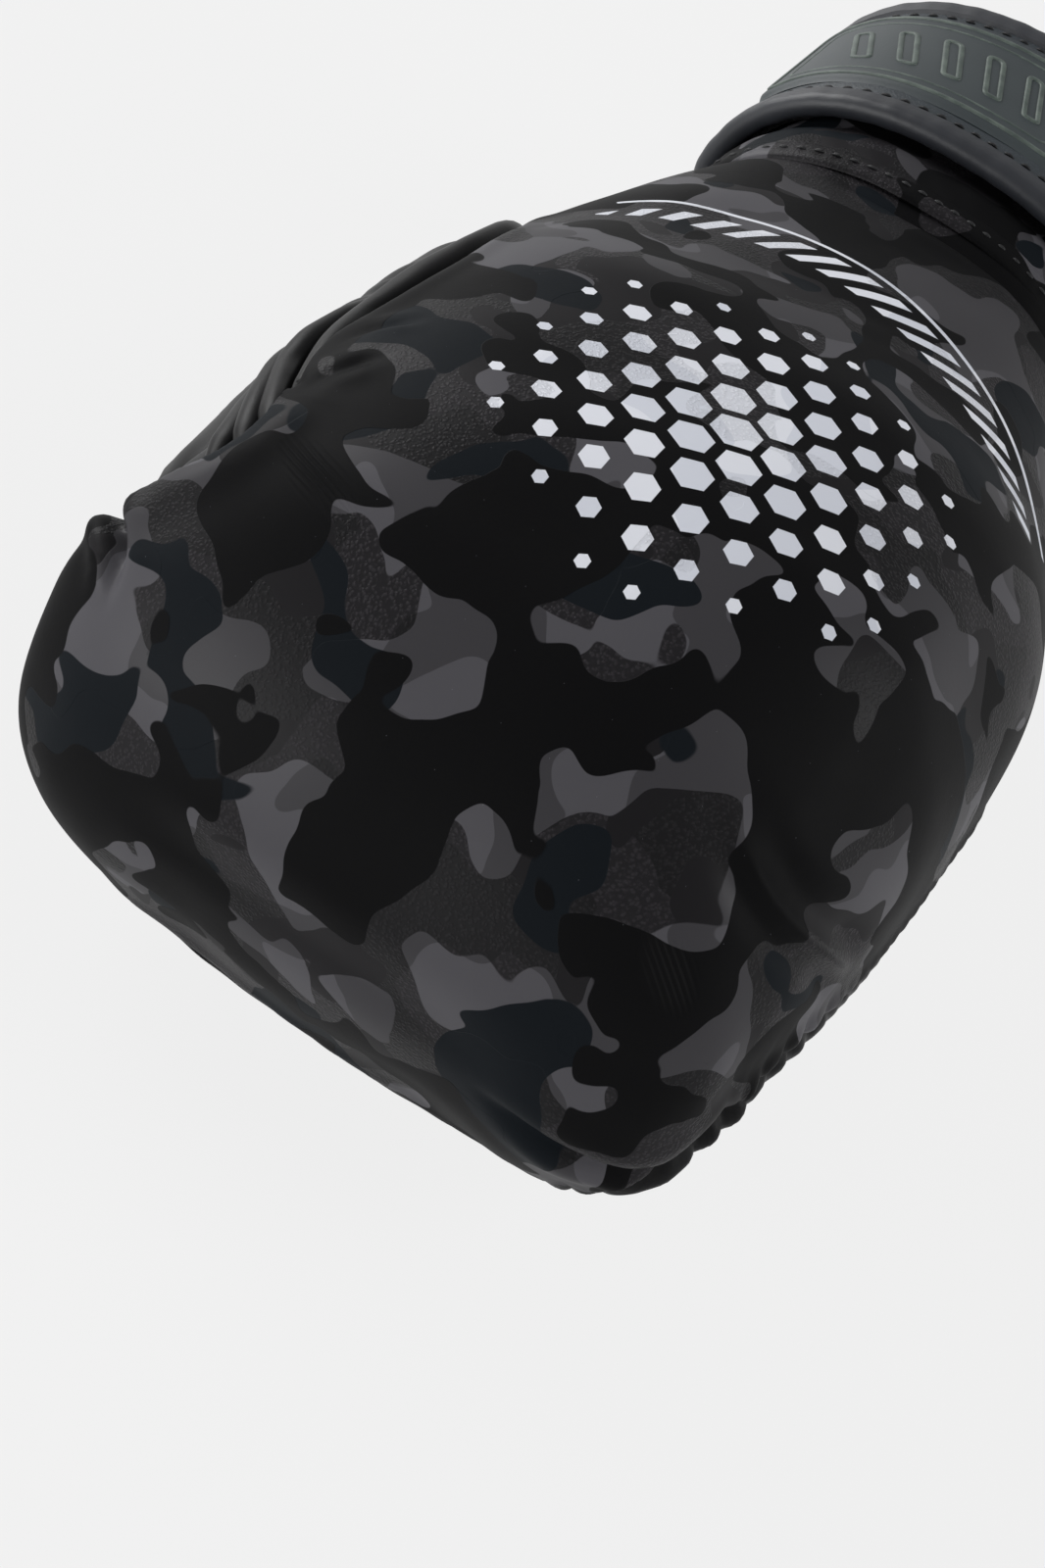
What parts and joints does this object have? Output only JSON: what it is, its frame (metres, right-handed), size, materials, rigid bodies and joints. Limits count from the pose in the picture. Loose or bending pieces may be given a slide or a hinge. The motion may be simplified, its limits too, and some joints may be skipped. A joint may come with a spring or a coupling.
{
  "type": "boxing glove",
  "caption": "Left closed-thumb boxing glove: layered foam fist, lined hand compartment, thumb, cuff with elastic slit, and a wide hook-and-loop strap that folds open.",
  "frame": {"origin": "on the rest plane, on the flat under the heel of the palm, in the middle of the glove's width without the thumb", "axes": "+Y from the cuff's mouth to the front of the fist, +X to the thumb side, +Z to the back of the hand; the glove lies palm down"},
  "size_m": [0.1664, 0.2913, 0.1186],
  "materials": {
    "printed_cover": "satin",
    "smooth_cover": "satin",
    "strap_cover": "satin",
    "glossy_binding": "gloss",
    "foam": "matte",
    "firm_roll": "matte",
    "lining_cloth": "matte",
    "elastic": "matte",
    "hook_and_loop": "matte",
    "badge_rubber": "satin",
    "frame_rubber": "satin"
  },
  "bodies": {
    "glove_body": {"back_shell": "printed_cover", "thumb_side_panel": "smooth_cover", "palm_shell": "smooth_cover", "pinky_side_panel": "smooth_cover", "knuckle_foam_outer": "foam", "knuckle_foam_middle": "foam", "knuckle_foam_inner": "foam", "palm_pad": "foam", "finger_curl_pad": "foam", "grip_bar": "firm_roll", "hand_liner": "lining_cloth", "wrist_welt": "smooth_cover", "cuff_shell": "printed_cover", "cuff_foam_back": "foam", "cuff_foam_palm": "foam", "cuff_liner": "lining_cloth", "cuff_binding": "glossy_binding", "wrist_gusset": "elastic", "loop_field": "hook_and_loop", "strap_root": "strap_cover", "strap_root_binding": "glossy_binding"},
    "thumb_part": {"thumb_back_shell": "smooth_cover", "thumb_palm_shell": "smooth_cover", "thumb_foam": "foam", "thumb_liner": "lining_cloth", "thumb_web": "smooth_cover"},
    "strap_lower_part": {"strap_middle": "strap_cover", "strap_middle_binding": "glossy_binding"},
    "strap_upper_part": {"strap_end": "strap_cover", "strap_end_binding": "glossy_binding", "hook_field": "hook_and_loop", "strap_badge": "badge_rubber", "badge_frame": "frame_rubber"}
  },
  "joints": [
    {"name": "strap_lower_fold", "type": "hinge", "parent": "glove_body", "child": "strap_lower_part", "pos_m": [0.01633, 0, 0.01638], "axis": [0, -1, 0], "range_deg": [0, 46]},
    {"name": "strap_peel", "type": "hinge", "parent": "strap_lower_part", "child": "strap_upper_part", "pos_m": [-0.03618, 0, 0.09176], "axis": [0, -1, 0], "range_deg": [0, 115]},
    {"name": "thumb_flex", "type": "hinge", "parent": "glove_body", "child": "thumb_part", "pos_m": [0.068, -0.022, 0.043], "axis": [0, 0, -1], "range_deg": [0, 6], "stiffness_Nm_per_rad": 0.6}
  ],
  "couplings": [
    {"joint": "strap_lower_fold", "follows": "strap_peel", "ratio": 0.4}
  ]
}
